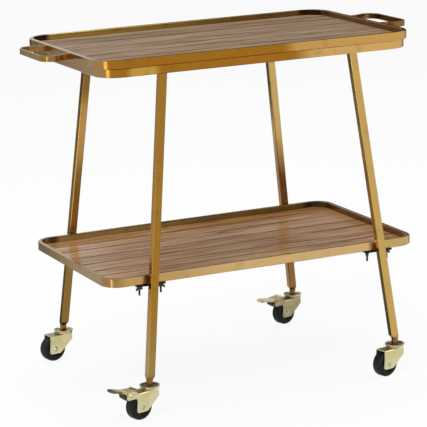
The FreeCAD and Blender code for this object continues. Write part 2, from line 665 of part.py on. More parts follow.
# ---------------------------------------------------------------- the cart
tray_rail = deck("tray", TRAY_LENGTH, TRAY_WIDTH, TRAY_CORNER, FRAME_TOP, TRAY_RAIL_HEIGHT,
                 TRAY_BOARDS)
save("tray_rail", tray_rail)
save("tray_handle_left", handle(-1))
save("tray_handle_right", handle(1))

top_frame = rail(FRAME_LENGTH, FRAME_WIDTH, FRAME_CORNER, FRAME_TOP - FRAME_RAIL_HEIGHT,
                 FRAME_RAIL_HEIGHT)
save("top_frame", top_frame)

shelf_rail = deck("shelf", SHELF_LENGTH, SHELF_WIDTH, SHELF_CORNER, SHELF_BOTTOM,
                  SHELF_RAIL_HEIGHT, SHELF_BOARDS)
for x, y in stud_places():
    shelf_rail = shelf_rail.cut(stud_hole(x, y))
save("shelf_rail", shelf_rail)

studs = []
nuts = []
for (x, y), turn in zip(stud_places(), NUT_TURNS):
    seat = SHELF_BOTTOM - BRACKET_SHEET
    studs.append(Part.makeCylinder(STUD_RADIUS, STUD_REACH + BRACKET_SHEET + STUD_GRIP,
                                   Vector(x, y, seat - STUD_REACH)))
    nut = wing_nut()
    nut.rotate(Vector(0, 0, 0), Vector(0, 0, 1), turn)
    nut.translate(Vector(x, y, seat))
    nuts.append(nut)
save("shelf_studs", studs)
save("wing_nuts", nuts)

for key, (sx, sy) in CORNERS.items():
    save("leg_" + key, leg(sx, sy, top_frame))
    save("shelf_bracket_" + key, bracket(sx, sy))
    castor(key)
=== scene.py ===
"""Looks of the rolling bar cart: aged brass rails and legs, weathered plank decks, plated
castors with black tyres, and the soft white studio it stands in.

Metres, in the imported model's own frame: +Z up, floor at z = 0, front towards -Y.
"""
import json
import math

import bpy
import numpy as np
from mathutils import Matrix, Vector


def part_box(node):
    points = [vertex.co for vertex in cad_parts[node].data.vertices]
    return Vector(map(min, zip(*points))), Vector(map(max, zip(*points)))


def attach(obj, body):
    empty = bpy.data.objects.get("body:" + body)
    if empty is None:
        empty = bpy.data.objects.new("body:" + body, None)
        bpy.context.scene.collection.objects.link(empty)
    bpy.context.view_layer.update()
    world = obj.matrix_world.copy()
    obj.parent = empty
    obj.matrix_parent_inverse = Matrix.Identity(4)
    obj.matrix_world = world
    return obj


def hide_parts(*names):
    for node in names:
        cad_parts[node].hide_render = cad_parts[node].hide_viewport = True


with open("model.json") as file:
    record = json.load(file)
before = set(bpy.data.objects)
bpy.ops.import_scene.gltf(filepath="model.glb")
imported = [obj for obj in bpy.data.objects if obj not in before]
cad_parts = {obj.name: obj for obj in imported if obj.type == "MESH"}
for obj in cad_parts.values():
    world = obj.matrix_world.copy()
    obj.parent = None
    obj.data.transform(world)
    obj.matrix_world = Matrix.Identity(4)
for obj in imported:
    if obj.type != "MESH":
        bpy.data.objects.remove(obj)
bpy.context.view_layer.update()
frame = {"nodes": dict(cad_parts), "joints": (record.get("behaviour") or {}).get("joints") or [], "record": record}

NODES = frame["nodes"]
JOINTS = {joint["name"]: joint for joint in frame["joints"]}
CORNERS = ("fl", "fr", "bl", "br")
MM = 0.001

# Deck boards from the back to the front: widths in millimetres, and each board's tone, from
# 0 for the darkest to 1 for the palest.
TRAY_BOARDS = (51, 56, 82, 50, 54, 66, 62, 49)
SHELF_BOARDS = (56, 54, 75, 63, 68, 49, 53, 38)
TRAY_TONES = (0.4, 0.0, 0.8, 0.7, 0.9, 0.7, 0.6, 0.4)
SHELF_TONES = (0.0, 0.59, 0.75, 0.43, 0.68, 0.6, 1.0, 0.69)

# Millimetres.
TRAY_CORNER = 49.4        # radius of the deck's rounded corners
SHELF_CORNER = 33.4
HALF_JOINT = 1.2          # from a board's edge to the middle of the joint beside it
BOARD_FIT = 0.6           # between the boards and the rail round them
JOINT_WANDER = 0.9        # a sawn edge strays by up to this much at a joint
OUTER_WANDER = 0.4        # and by this much beside the rail
ARRIS = 1.5               # a board's rubbed edge, a quarter round
ARRIS_CHANGE = 1.2        # its radius grows and shrinks by up to this much
CUP = 0.25                # hollow across a board
SURFACE_WAVE = 0.12       # unevenness of a board's top
WORN_BAND = 6.0           # how far the wear reaches in from an edge
TYRE_HALF = 13.0          # half the tyre's width
TYRE_SEAT = 21.0          # radius of its seat on the rim
TYRE_SHOULDER = 6.5
TYRE_CROWN = 0.1          # the tread's middle stands out by this much
MOULD_STEP = 0.5          # depth of the step moulded in the sidewall
PARTING_RIDGE = 0.12      # height of the mould's parting line
PARTING_WIDTH = 0.5
STUD_RADIUS = 2.5
STUD_TIP = 1.6            # radius at the chamfered end
STUD_PITCH = 1.0
THREAD_DEPTH = 0.45
THREAD_FADE = 2.0         # length over which the thread runs out
STUD_REACH = 27.0         # from the middle of a bracket to either stud
RAIL_MIDDLE = 5.0         # half of the shelf rail's thickness


# ---------------------------------------------------------------- shader maths
class Value:
    """A number that varies over a surface. Arithmetic on it adds Math nodes."""

    def __init__(self, finish, socket):
        self.finish = finish
        self.socket = socket

    def math(self, operation, *values):
        """One Math node on these values."""
        return self.finish.add("ShaderNodeMath", {"operation": operation}, dict(enumerate(values)))

    def __add__(self, other):
        return self.math("ADD", self, other)

    def __sub__(self, other):
        return self.math("SUBTRACT", self, other)

    def __rsub__(self, other):
        return self.math("SUBTRACT", other, self)

    def __mul__(self, other):
        return self.math("MULTIPLY", self, other)

    def __abs__(self):
        return self.math("ABSOLUTE", self)

    __radd__ = __add__
    __rmul__ = __mul__

    def above(self, low, high):
        """0 below low, 1 above high, smooth between; swapped limits turn it round."""
        ramp = self.finish.add("ShaderNodeMapRange", {"interpolation_type": "SMOOTHSTEP"},
                               {"Value": self, "From Min": min(low, high),
                                "From Max": max(low, high)})
        return 1 - ramp if low > high else ramp


class Finish:
    """One material: constants go straight onto the shader's sockets, the rest is wired in."""

    def __init__(self, name, **constants):
        self.material = bpy.data.materials.new(name)
        self.material.use_nodes = True
        self.tree = self.material.node_tree
        self.shader = self.tree.nodes["Principled BSDF"]
        for socket, value in constants.items():
            self.shader.inputs[socket.replace("_", " ")].default_value = value
        self.place = self.add("ShaderNodeTexCoord", {}, {}, "Object")

    def add(self, kind, settings, sockets, out=0):
        """A node with its settings made first, then the values or links of its sockets."""
        node = self.tree.nodes.new(kind)
        for key, setting in settings.items():
            setattr(node, key, setting)
        for key, value in sockets.items():
            self.feed(node.inputs[key], value)
        return Value(self, node.outputs[out])

    def feed(self, socket, value):
        """Link a value, or write a constant; a colour may be given without its alpha."""
        if isinstance(value, Value):
            self.tree.links.new(value.socket, socket)
        elif socket.type == "RGBA":
            socket.default_value = (*value, 1)
        else:
            socket.default_value = value

    def axis(self, letter):
        """One coordinate of the point, in metres."""
        return self.add("ShaderNodeSeparateXYZ", {}, {0: self.place}, letter)

    def noise(self, scale, detail=3.0, roughness=0.5, distortion=0.0, at=None):
        """Soft random clouds, about 0.5 on average."""
        return self.add("ShaderNodeTexNoise", {},
                        {"Vector": at or self.place, "Scale": scale, "Detail": detail,
                         "Roughness": roughness, "Distortion": distortion})

    def vector(self, operation, first, second):
        """Sum or product of two vectors, part by part."""
        return self.add("ShaderNodeVectorMath", {"operation": operation}, {0: first, 1: second})

    def mix(self, factor, first, second):
        """Blend of two colours."""
        return self.add("ShaderNodeMix", {"data_type": "RGBA"}, {0: factor, 6: first, 7: second},
                        2)

    def surface(self, colour, roughness, height, depth):
        """Wire colour and roughness; height in 0..1 becomes a bump of that depth in metres."""
        self.feed(self.shader.inputs["Base Color"], colour)
        self.feed(self.shader.inputs["Roughness"], roughness)
        bump = self.add("ShaderNodeBump", {}, {"Height": height, "Distance": depth,
                                               "Strength": 1.0})
        self.feed(self.shader.inputs["Normal"], bump)
        return self.material


# ---------------------------------------------------------------- finishes
# The back's fading colours are painted reflections, and its corners' colour is painted shade.
BACK_FADE = (-0.33, 0.3)          # where a rail's back fades from its left to its right colour
CORNER_START = (0.335, 0.352)     # how far from the middle its corners' colour takes over


def aged_brass(name, tone, *zones):
    """Lacquered antique brass with fine brushing, brown stains and specks. Each zone is a
    colour that takes over as one coordinate goes from the first limit to the second; most
    zones are painted reflections, highlights and shade. Three colours are one for the
    rounded corners at both ends, and two that fade from the cart's left end to its right one."""
    finish = Finish(name, Metallic=1.0)
    drift = finish.noise(7, 2.0, 0.5)
    mottle = finish.noise(22, 3.0, 0.55)
    specks = finish.noise(260, 2.0, 0.6)
    satin = finish.noise(700, 2.0, 0.5)
    light = tuple(min(1.0, part * 1.35 + 0.02) for part in tone)
    brown = tuple(part * 0.35 for part in tone)
    for colour, letter, low, high in zones:
        if isinstance(colour[0], tuple):
            corner, left, right = colour
            length = finish.axis("X")
            colour = finish.mix(length.above(*BACK_FADE), left, right)
            colour = finish.mix(abs(length).above(*CORNER_START), colour, corner)
        place = finish.axis(letter) + (drift - 0.5) * min(0.06, 2 * abs(high - low))
        tone = finish.mix(place.above(low, high), tone, colour)
    tone = finish.mix(mottle.above(0.5, 0.8) * 0.18, tone, light)
    tone = finish.mix(mottle.above(0.46, 0.25) * 0.3, tone, brown)
    tone = finish.mix(specks.above(0.64, 0.76) * 0.3, tone, brown)
    return finish.surface(tone, 0.17 + mottle * 0.12, mottle * 0.85 + satin * 0.15, 0.0001)


def plated_steel(name, base, shade, stain, spot=None, centre=None, limits=None, crown=None,
                 metal=0.9):
    """Thin plating over pressed steel: soft drifts of colour and dull stains. A spot colour
    takes over as the distance from a centre goes from the first limit to the second; inside
    the races and at the pedal's tip it is painted shade. A crown is a colour, a painted dark
    reflection, and the height of the flat top that has it."""
    finish = Finish(name, Metallic=metal)
    drift = finish.noise(26, 2.0, 0.5)
    dull = finish.noise(140, 4.0, 0.6)
    tone = finish.mix(drift.above(0.38, 0.64), base, shade)
    if centre:
        away = finish.add("ShaderNodeVectorMath", {"operation": "DISTANCE"},
                          {0: finish.place, 1: centre}, "Value")
        tone = finish.mix(away.above(*limits) * 0.8, tone, spot)
    # The crown colour is a painted dark reflection on the fork's flat top.
    if crown:
        colour, top = crown
        height = finish.axis("Z")
        from_below = height.above(top - 0.5 * MM, top - 0.1 * MM)
        from_above = height.above(top + 1.0 * MM, top + 0.4 * MM)
        tone = finish.mix(from_below * from_above * 0.85, tone, colour)
    tone = finish.mix(dull.above(0.6, 0.8) * 0.5, tone, stain)
    return finish.surface(tone, 0.2 + dull * 0.2, dull, 0.00005)


def weathered_planks(name, light, mid, dark, warm, roughness, depth):
    """Reclaimed boards: each has its own tone, wavy streaks and figure along the grain,
    knots and worn, paler edges. The mesh says which board a point is on and how near its
    edge. The lacquer's roughness and the depth of the grain are given."""
    finish = Finish(name, Specular_IOR_Level=0.16)
    board = finish.add("ShaderNodeAttribute", {"attribute_name": "board"}, {}, "Fac")
    wear = finish.add("ShaderNodeAttribute", {"attribute_name": "wear"}, {}, "Fac")
    shift = finish.add("ShaderNodeCombineXYZ", {}, {0: board * 7.3, 1: board * 3.1})
    moved = finish.vector("ADD", finish.place, shift)
    bend = finish.noise(1.0, 2.0, 0.5, at=finish.vector("MULTIPLY", moved, (4, 13, 13)))
    sway = finish.add("ShaderNodeCombineXYZ", {}, {1: (bend - 0.5) * 0.018})
    flowing = finish.vector("ADD", moved, sway)

    def along(scale_x, scale_y):
        return finish.vector("MULTIPLY", flowing, (scale_x, scale_y, scale_y))

    drift = finish.noise(1.0, 2.0, 0.5, at=along(4.0, 22))
    streak = finish.noise(1.0, 3.0, 0.6, 0.3, at=along(6, 95))
    grain = finish.noise(1.0, 4.0, 0.6, 0.2, at=along(6, 240))
    fibre = finish.noise(1.0, 3.0, 0.6, at=along(26, 700))
    rings = finish.add("ShaderNodeTexWave", {"bands_direction": "Y", "wave_profile": "SAW"},
                       {"Vector": along(1.6, 10), "Scale": 3.0, "Distortion": 7.0,
                        "Detail": 1.5, "Detail Scale": 1.0, "Detail Roughness": 0.5}, "Fac")
    cells = finish.add("ShaderNodeTexVoronoi", {"feature": "F1"},
                       {"Vector": along(4.0, 13), "Scale": 1.0}, "Distance")
    knot = cells.above(0.085, 0.03)
    halo = cells.above(0.26, 0.06)
    tone = finish.mix(board, mid, light)
    tone = finish.mix(drift.above(0.42, 0.62) * 0.5, tone, warm)
    tone = finish.mix(streak.above(0.49, 0.6) * 0.5, tone, dark)
    tone = finish.mix(streak.above(0.45, 0.34) * 0.6, tone, light)
    tone = finish.mix(grain.above(0.52, 0.66) * 0.4, tone, dark)
    tone = finish.mix(rings.above(0.5, 1.0) * 0.45, tone, dark)
    tone = finish.mix(fibre.above(0.52, 0.8) * 0.2, tone, light)
    tone = finish.mix(halo * 0.3, tone, dark)
    tone = finish.mix(knot * 0.8, tone, tuple(0.3 * part for part in dark))
    tone = finish.mix(wear.above(0.2, 0.5) * streak.above(0.62, 0.42) * 0.5, tone, light)
    tone = finish.mix(wear.above(0.62, 0.85) * 0.75, tone, tuple(0.5 * part for part in dark))
    roughness = roughness + grain * 0.2 + wear.above(0.6, 0.8) * 0.35
    height = 0.5 - grain * 0.4 - rings * 0.15 + fibre * 0.2 - knot * 0.2
    return finish.surface(tone, roughness, height, depth)


def dull_steel(name, tone, worn):
    """Dull oxide or paint over steel, with small bright rubs; on the wing nuts, where the rub colour is pale,
    these are painted glints.
    """
    finish = Finish(name, Metallic=0.7)
    rub = finish.noise(160, 4.0, 0.6)
    colour = finish.mix(rub.above(0.58, 0.8), tone, worn)
    return finish.surface(colour, 0.34 + rub * 0.2, rub, 0.00008)


def rubber(name, tone, dusty, roughness, gloss=0.35):
    """Rubber or moulded plastic with a grey bloom and faint scuffs."""
    finish = Finish(name, Specular_IOR_Level=gloss)
    scuff = finish.noise(90, 4.0, 0.65)
    bloom = finish.noise(18, 2.0, 0.5)
    colour = finish.mix(bloom.above(0.35, 0.7) * 0.6, tone, dusty)
    return finish.surface(colour, roughness + scuff * 0.16, scuff, 0.0001)


# Colours are linear red, green and blue; places and limits are metres. The back of a rail has
# one colour for its rounded corners, which is painted shade, and two that fade from the left
# end to the right one, which are painted reflections.
# Amber is the brass itself. The gold is a painted reflection on the right part of the fronts, the olive a painted
# reflection on the left ends, and the umber painted shade at the rails' right ends; the umber also darkens the
# foot of each leg.
AMBER = (0.345, 0.145, 0.014)
GOLD_PAINTED_REFLECTION = (0.56, 0.32, 0.09)
UMBER = (0.24, 0.125, 0.04)
OLIVE_PAINTED_REFLECTION = (0.33, 0.20, 0.075)
TRAY_BACK_PAINTED_LIGHT = ((0.04, 0.018, 0.01), (0.55, 0.38, 0.10), (0.21, 0.11, 0.036))
SHELF_BACK_PAINTED_LIGHT = ((0.06, 0.03, 0.014), (0.47, 0.34, 0.13), (0.19, 0.11, 0.025))
# Tray rail: painted reflections as a paler gold right part of the front, olive left ends and a back that fades
# from light to dark; painted shade at the right ends and in the back corners.
RAIL_BRASS = aged_brass("antique_brass", AMBER, (GOLD_PAINTED_REFLECTION, "X", 0.05, 0.10),
                        (TRAY_BACK_PAINTED_LIGHT, "Y", 0.187, 0.212), (OLIVE_PAINTED_REFLECTION, "X", -0.38, -0.402),
                        (UMBER, "X", 0.390, 0.396))
# Frame rail: the same painted reflections and shade, with a painted highlight near the left of the front.
FRAME_BRASS = aged_brass("antique_brass_frame", AMBER,
                         ((0.53, 0.31, 0.058), "X", -0.345, -0.315), (AMBER, "X", -0.275, -0.245),
                         ((0.62, 0.38, 0.12), "X", 0.08, 0.15), (TRAY_BACK_PAINTED_LIGHT, "Y", 0.19, 0.24),
                         (OLIVE_PAINTED_REFLECTION, "X", -0.375, -0.395), (UMBER, "X", 0.382, 0.390))
# Shelf rail: a paler base and lighter stretches along the front as painted reflection, a darker painted reflection
# on the left ends, and painted shade at the right ends and in the back corners.
SHELF_BRASS = aged_brass("antique_brass_shelf", (0.50, 0.31, 0.11),
                         ((0.60, 0.40, 0.17), "X", -0.28, -0.05),
                         ((0.51, 0.36, 0.125), "X", 0.27, 0.33), (SHELF_BACK_PAINTED_LIGHT, "Y", 0.17, 0.236),
                         ((0.30, 0.19, 0.066), "X", -0.36, -0.40), (UMBER, "X", 0.388, 0.395))
LEG_FOOT = (UMBER, "Z", 0.10, 0.088)
# Each leg is the same brass in a lighter or darker tone as painted light, and the bands along its height are
# painted reflections.
LEG_BRASS_PAINTED_LIGHT = {
    "fl": aged_brass("antique_brass_leg_fl", (0.34, 0.17, 0.026),
                     ((0.32, 0.22, 0.062), "Z", 0.26, 0.12), LEG_FOOT),
    "fr": aged_brass("antique_brass_leg_fr", (0.55, 0.35, 0.105), LEG_FOOT),
    "bl": aged_brass("antique_brass_leg_bl", (0.26, 0.145, 0.034),
                     ((0.47, 0.28, 0.075), "Z", 0.32, 0.36), ((0.47, 0.27, 0.075), "Z", 0.46, 0.56),
                     ((0.22, 0.12, 0.03), "Z", 0.63, 0.70), LEG_FOOT),
    "br": aged_brass("antique_brass_leg_br", (0.26, 0.13, 0.04),
                     ((0.56, 0.38, 0.12), "Z", 0.40, 0.54), LEG_FOOT),
}
# The two handles are the same brass in different tones as painted light: an olive painted reflection on the left
# one, painted shade on the right one.
HANDLE_BRASS_PAINTED_LIGHT = {
    "left": aged_brass("antique_brass_handle_left", (0.26, 0.155, 0.037)),
    "right": aged_brass("antique_brass_handle_right", (0.24, 0.12, 0.035)),
}

# Platings: base, shade and stain.
PLATING = ((0.595, 0.525, 0.27), (0.675, 0.61, 0.36), (0.33, 0.27, 0.13))
# The same plating darkened as painted shade, for the back right castor's fork.
PLATING_PAINTED_SHADE = ((0.315, 0.26, 0.13), (0.38, 0.32, 0.175), (0.2, 0.16, 0.08))
# The fork's brown top is a painted dark reflection.
CROWN_PAINTED_REFLECTION = ((0.22, 0.145, 0.065), 0.0670)     # brown top of the fork, and its height
# The brown inside the upper race is painted shade.
RACE_PAINTED_SHADE = (0.075, 0.04, 0.02)
RIVET_RUB = (0.0205, 0.0185)               # limits of the bright patch round the axle
RACE_FLOOR = (0.0212, 0.0195)              # limits of the brown dish inside the upper race
# The pedal's dark tip is painted shade.
PEDAL_TIP = (0.088, 0.094)                 # limits of the dark tip, from the swivel

PLATED = plated_steel("castor_plating", *PLATING)
RIVET_STEEL = plated_steel("rivet_plating", (0.42, 0.39, 0.27), (0.5, 0.47, 0.33),
                           (0.2, 0.17, 0.11))
TRAY_WOOD = weathered_planks("tray_planks", (0.325, 0.225, 0.137), (0.225, 0.144, 0.084),
                             (0.066, 0.038, 0.021), (0.20, 0.122, 0.068), 0.42, 0.0005)
SHELF_WOOD = weathered_planks("shelf_planks", (0.63, 0.37, 0.17), (0.32, 0.158, 0.06),
                              (0.11, 0.043, 0.015), (0.38, 0.16, 0.055), 0.14, 0.00015)
BLACK_STEEL = dull_steel("blackened_steel", (0.018, 0.016, 0.014), (0.10, 0.09, 0.075))
# The wing nuts' pale rubs are painted glints.
WING_STEEL_PAINTED_GLINTS = dull_steel("wing_nut_painted_glints", (0.05, 0.046, 0.04), (0.42, 0.40, 0.36))
# The brackets are the brass darkened as painted shade, with a black painted shadow on the flange below.
BRACKET_PAINTED_SHADE = aged_brass("bracket_finish", (0.15, 0.07, 0.02),
                           ((0.014, 0.012, 0.01), "Z", 0.3075, 0.3065))
BASE_STEEL = dull_steel("base_sheet_paint", (0.06, 0.033, 0.018), (0.10, 0.06, 0.035))
TYRE = rubber("tyre_rubber", (0.006, 0.0056, 0.005), (0.013, 0.0117, 0.0102), 0.5, 0.2)
HUB = rubber("hub_plastic", (0.012, 0.012, 0.012), (0.02, 0.02, 0.02), 0.32)
SHOE = rubber("brake_shoe_rubber", (0.014, 0.014, 0.014), (0.024, 0.023, 0.022), 0.6)
FLAG_BLACK = rubber("flag_black", (0.01, 0.01, 0.01), (0.012, 0.012, 0.012), 0.8)

BY_SLOT = {"brass_frame": RAIL_BRASS, "steel_sheet": BASE_STEEL, "tray_wood": TRAY_WOOD,
           "shelf_wood": SHELF_WOOD, "dark_steel": BLACK_STEEL, "castor_brass": PLATED,
           "castor_steel": RIVET_STEEL, "tyre_rubber": TYRE, "wheel_plastic": HUB,
           "brake_rubber": SHOE}
BY_NODE = {"top_frame": FRAME_BRASS, "shelf_rail": SHELF_BRASS,
           "tray_handle_left": HANDLE_BRASS_PAINTED_LIGHT["left"], "tray_handle_right": HANDLE_BRASS_PAINTED_LIGHT["right"],
           "wing_nuts": WING_STEEL_PAINTED_GLINTS}
for key in CORNERS:
    BY_NODE["leg_" + key] = LEG_BRASS_PAINTED_LIGHT[key]
    BY_NODE["shelf_bracket_" + key] = BRACKET_PAINTED_SHADE
    castor = "castor_" + key
    axle = tuple(JOINTS["wheel_" + key + "_roll"]["pos_m"])
    swivel = tuple(JOINTS[castor + "_swivel"]["pos_m"])
    # The back right fork takes the plating darkened as painted shade.
    plating = PLATING_PAINTED_SHADE if key == "br" else PLATING
    rubbed = tuple(min(1.0, 1.05 * part + 0.06) for part in plating[0])
    BY_NODE[castor + "_fork"] = plated_steel("castor_plating_" + key, *plating, rubbed, axle,
                                             RIVET_RUB, CROWN_PAINTED_REFLECTION)
    BY_NODE[castor + "_stem"] = plated_steel("race_plating_" + key, *PLATING, RACE_PAINTED_SHADE, swivel,
                                             RACE_FLOOR)
# The front left pedal is the plating in a darker, browner tone as painted shade.
BY_NODE["castor_fl_brake_pedal"] = plated_steel(
    "pedal_plating_fl", (0.43, 0.33, 0.12), (0.5, 0.40, 0.18), (0.2, 0.14, 0.06),
    (0.09, 0.07, 0.045), tuple(JOINTS["castor_fl_swivel"]["pos_m"]), PEDAL_TIP, metal=0.75)
BY_NODE["castor_br_brake_pedal"] = plated_steel(
    "pedal_plating_br", (0.62, 0.51, 0.29), (0.68, 0.57, 0.35), (0.34, 0.27, 0.15), metal=0.4)
for entry in frame["record"]["subparts"]:
    node = entry["node"]
    for held in NODES[node].material_slots:
        held.material = BY_NODE.get(node, BY_SLOT[entry["material_slot"]])


# ---------------------------------------------------------------- shaped pieces
BOARD_STATIONS = 150      # along a board
EDGE_STEPS = (0, 0.15, 0.4, 0.8, 1.4, 2.2, 3.4, 6.0)      # millimetres in from a board's edge
TYRE_STATIONS = 96        # round the axle
THREAD_STATIONS = 150     # along a stud
STUD_SIDES = 24


def swept_faces(stations, around, looped):
    """Quads of a ring of points carried along stations. A loop joins its last station to
    its first; otherwise strips across the ring close both ends."""
    last = stations if looped else stations - 1
    station, ring = np.meshgrid(np.arange(last), np.arange(around), indexing="ij")
    onward = (station + 1) % stations
    beside = (ring + 1) % around
    quads = np.stack([station * around + ring, station * around + beside,
                      onward * around + beside, onward * around + ring], -1).reshape(-1, 4)
    if looped:
        return quads
    near = np.arange(around // 2 - 1)
    strip = np.stack([near, around - 1 - near, around - 2 - near, near + 1], -1)
    return np.concatenate([quads, strip, strip[:, ::-1] + (stations - 1) * around])


def swept_piece(name, sweeps, looped, node, body, material, attributes=None):
    """One mesh from several sweeps, each an array (stations, around, 3), that stands for a
    CAD node. Faces are turned outwards where a sweep comes out inside out."""
    faces = []
    start = 0
    for sweep in sweeps:
        flat = sweep.reshape(-1, 3)
        quads = swept_faces(sweep.shape[0], sweep.shape[1], looped)
        a, b, c, d = (flat[quads[:, i]] - flat.mean(0) for i in range(4))
        volume = np.einsum("ij,ij->", a, np.cross(b, c)) + np.einsum("ij,ij->", a, np.cross(c, d))
        faces.append((quads if volume > 0 else quads[:, ::-1]) + start)
        start += len(flat)
    mesh = bpy.data.meshes.new(name)
    mesh.from_pydata(np.concatenate([sweep.reshape(-1, 3) for sweep in sweeps]), [],
                     np.concatenate(faces))
    for key, values in (attributes or {}).items():
        mesh.attributes.new(key, "FLOAT", "POINT").data.foreach_set("value", values.ravel())
    mesh.shade_smooth()
    mesh.set_sharp_from_angle(angle=math.radians(42))
    mesh.materials.append(material)
    piece = bpy.data.objects.new(name, mesh)
    bpy.context.scene.collection.objects.link(piece)
    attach(piece, body)
    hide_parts(node)


def plank_sweep(back, front, half_x, half_y, corner, middle, low_z, high_z, loose, draw):
    """One board as a closed ring across it, carried along it.

    Across, the ring goes over the top and back underneath; along, each point's x is its
    share u of the reach there, half_x - corner + sqrt(corner^2 - over^2), where over is how
    far y lies inside the rounded corner. The front and back edges wander by up to the two
    loose amounts, in millimetres, each the mean of five sine waves of u. The arris is a
    quarter round whose radius wanders in the same way, and the top is lower by a hollow
    that follows 4 s (1 - s), for a share s of the width, and by a slight wave. Returns the
    points and their wear, which is 1 at an edge and below, and fades inwards."""
    u = np.linspace(-1, 1, BOARD_STATIONS)[:, None]
    width = back - front
    near = np.array(EDGE_STEPS) * MM
    inside = np.linspace(near[-1], width - near[-1], 12)[1:-1]
    from_front = np.concatenate([near, inside, width - near[::-1]])[None, :]
    phases = draw.uniform(0, 2 * math.pi, (4, 5))
    waves = draw.uniform(2, 26, (4, 5))

    def wander(which, most):
        return most * np.sin(u[..., None] * waves[which] + phases[which]).sum(-1) / 5

    share = from_front / width
    y = ((front + wander(0, loose[0] * MM)) * (1 - share)
         + (back + wander(1, loose[1] * MM)) * share)
    over = np.clip(np.abs(y - middle) - (half_y - corner), 0, corner)
    x = u * (half_x - corner + np.sqrt(corner ** 2 - over ** 2))
    edge = np.minimum(from_front, width - from_front)
    radius = ARRIS * MM + wander(2, ARRIS_CHANGE * MM)
    dip = np.clip(radius - edge, 0, None)
    arris = radius - np.sqrt(np.clip(radius ** 2 - dip ** 2, 0, None))
    cup = CUP * MM * (4 * share * (1 - share))
    wave = SURFACE_WAVE * MM * (1 + wander(3, 2.0)) * share
    top = high_z - arris - (cup + wave)
    bottom = np.full_like(top, low_z)
    over_top = np.stack([x, y, top], -1)
    below = np.stack([x, y, bottom], -1)[:, ::-1]
    wear = np.clip(1 - edge / (WORN_BAND * MM), 0, 1) + 0 * top
    points = np.concatenate([over_top, below], 1)
    return points, np.concatenate([wear, np.ones_like(wear)], 1)


def deck_planks(prefix, widths, tones, corner, body, material, seed):
    """All boards of one deck, from the back to the front, in place of the plain ones."""
    low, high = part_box(prefix + "_boards")
    middle = (low.y + high.y) / 2
    half_joint = HALF_JOINT * MM
    back = high.y + half_joint
    draw = np.random.RandomState(seed)
    sweeps = []
    wears = []
    boards = []
    for place, (width, tone) in enumerate(zip(widths, tones)):
        front = max(back - width * MM, low.y - half_joint)
        loose = (OUTER_WANDER if place == len(widths) - 1 else JOINT_WANDER,
                 OUTER_WANDER if place == 0 else JOINT_WANDER)
        sweep, wear = plank_sweep(back - half_joint, front + half_joint, high.x,
                                  high.y - middle + half_joint - BOARD_FIT * MM, corner * MM,
                                  middle, low.z, high.z, loose, draw)
        sweeps.append(sweep)
        wears.append(wear)
        boards.append(np.full(wear.shape, tone))
        back = front
    attributes = {"wear": np.concatenate([wear.ravel() for wear in wears]),
                  "board": np.concatenate([board.ravel() for board in boards])}
    swept_piece(prefix + "_planks", sweeps, False, prefix + "_boards", body,
                material, attributes)


def wheel_tyre(key):
    """Moulded tyre: its section carried round the axle.

    The section is the flat tread with a slight crown, quarter-round shoulders, sidewalls
    with one shallow moulded step, and the straight seat on the rim. The mould's parting
    line is a fine ridge, a Gauss bell across the middle of the tread."""
    node = "castor_" + key + "_tyre"
    joint = JOINTS["wheel_" + key + "_roll"]
    centre = np.array(joint["pos_m"])
    axis = np.array(joint["axis"])
    up = np.array([0.0, 0.0, 1.0])
    outer = centre[2]
    half = TYRE_HALF * MM
    seat = TYRE_SEAT * MM
    shoulder = TYRE_SHOULDER * MM
    bend = np.linspace(0, math.pi / 2, 12)
    tread = np.linspace(-1, 1, 25)[1:-1] * (half - shoulder)
    side_r = seat + np.array([0.0, 1.0, 1.4, 2.6, 3.0]) * MM
    side_a = half - np.array([0.0, 0.0, 1.0, 1.0, 0.0]) * MOULD_STEP * MM
    corner_r = outer - shoulder * (1 - np.sin(bend))
    corner_a = half - shoulder * (1 - np.cos(bend))
    bell = np.exp(-(tread / (PARTING_WIDTH * MM)) ** 2)
    tread_r = outer - TYRE_CROWN * MM * (tread / half) ** 2 - PARTING_RIDGE * MM * (1 - bell)
    radius = np.concatenate([side_r, corner_r, tread_r[::-1], corner_r[::-1], side_r[::-1]])
    across = np.concatenate([side_a, corner_a, tread[::-1], -corner_a[::-1], -side_a[::-1]])
    turn = np.linspace(0, 2 * math.pi, TYRE_STATIONS + 1)[:-1, None, None]
    level = np.cross(axis, up)
    rim = np.cos(turn) * level + np.sin(turn) * up
    points = centre + rim * radius[None, :, None] + axis * across[None, :, None]
    swept_piece("tyre_" + key, [points], True, node, "wheel_" + key, TYRE)


def threaded_studs():
    """Eight studs with a rolled thread below the brackets.

    The radius at turn t and height z follows a triangle wave of z / pitch - t / full turn,
    faded out at the smooth upper part; the lower end is chamfered at 45 degrees."""
    low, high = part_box("shelf_studs")
    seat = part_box("shelf_bracket_fl")[0].z
    turn = np.linspace(0, 2 * math.pi, STUD_SIDES + 1)[:-1][None, :]
    z = np.concatenate([np.linspace(low.z, seat, THREAD_STATIONS), [high.z]])[:, None]
    phase = ((z - low.z) / (STUD_PITCH * MM) - turn / (2 * math.pi)) % 1.0
    depth = THREAD_DEPTH * MM * np.clip((seat - z) / (THREAD_FADE * MM), 0, 1)
    radius = STUD_RADIUS * MM - depth * (1 - np.abs(2 * phase - 1))
    radius = np.minimum(radius, STUD_TIP * MM + (z - low.z))
    sweeps = []
    for x, y in stud_places():
        sweeps.append(np.stack([x + radius * np.cos(turn), y + radius * np.sin(turn),
                                z + 0 * turn], -1))
    swept_piece("threaded_studs", sweeps, False, "shelf_studs", "cart", BLACK_STEEL)


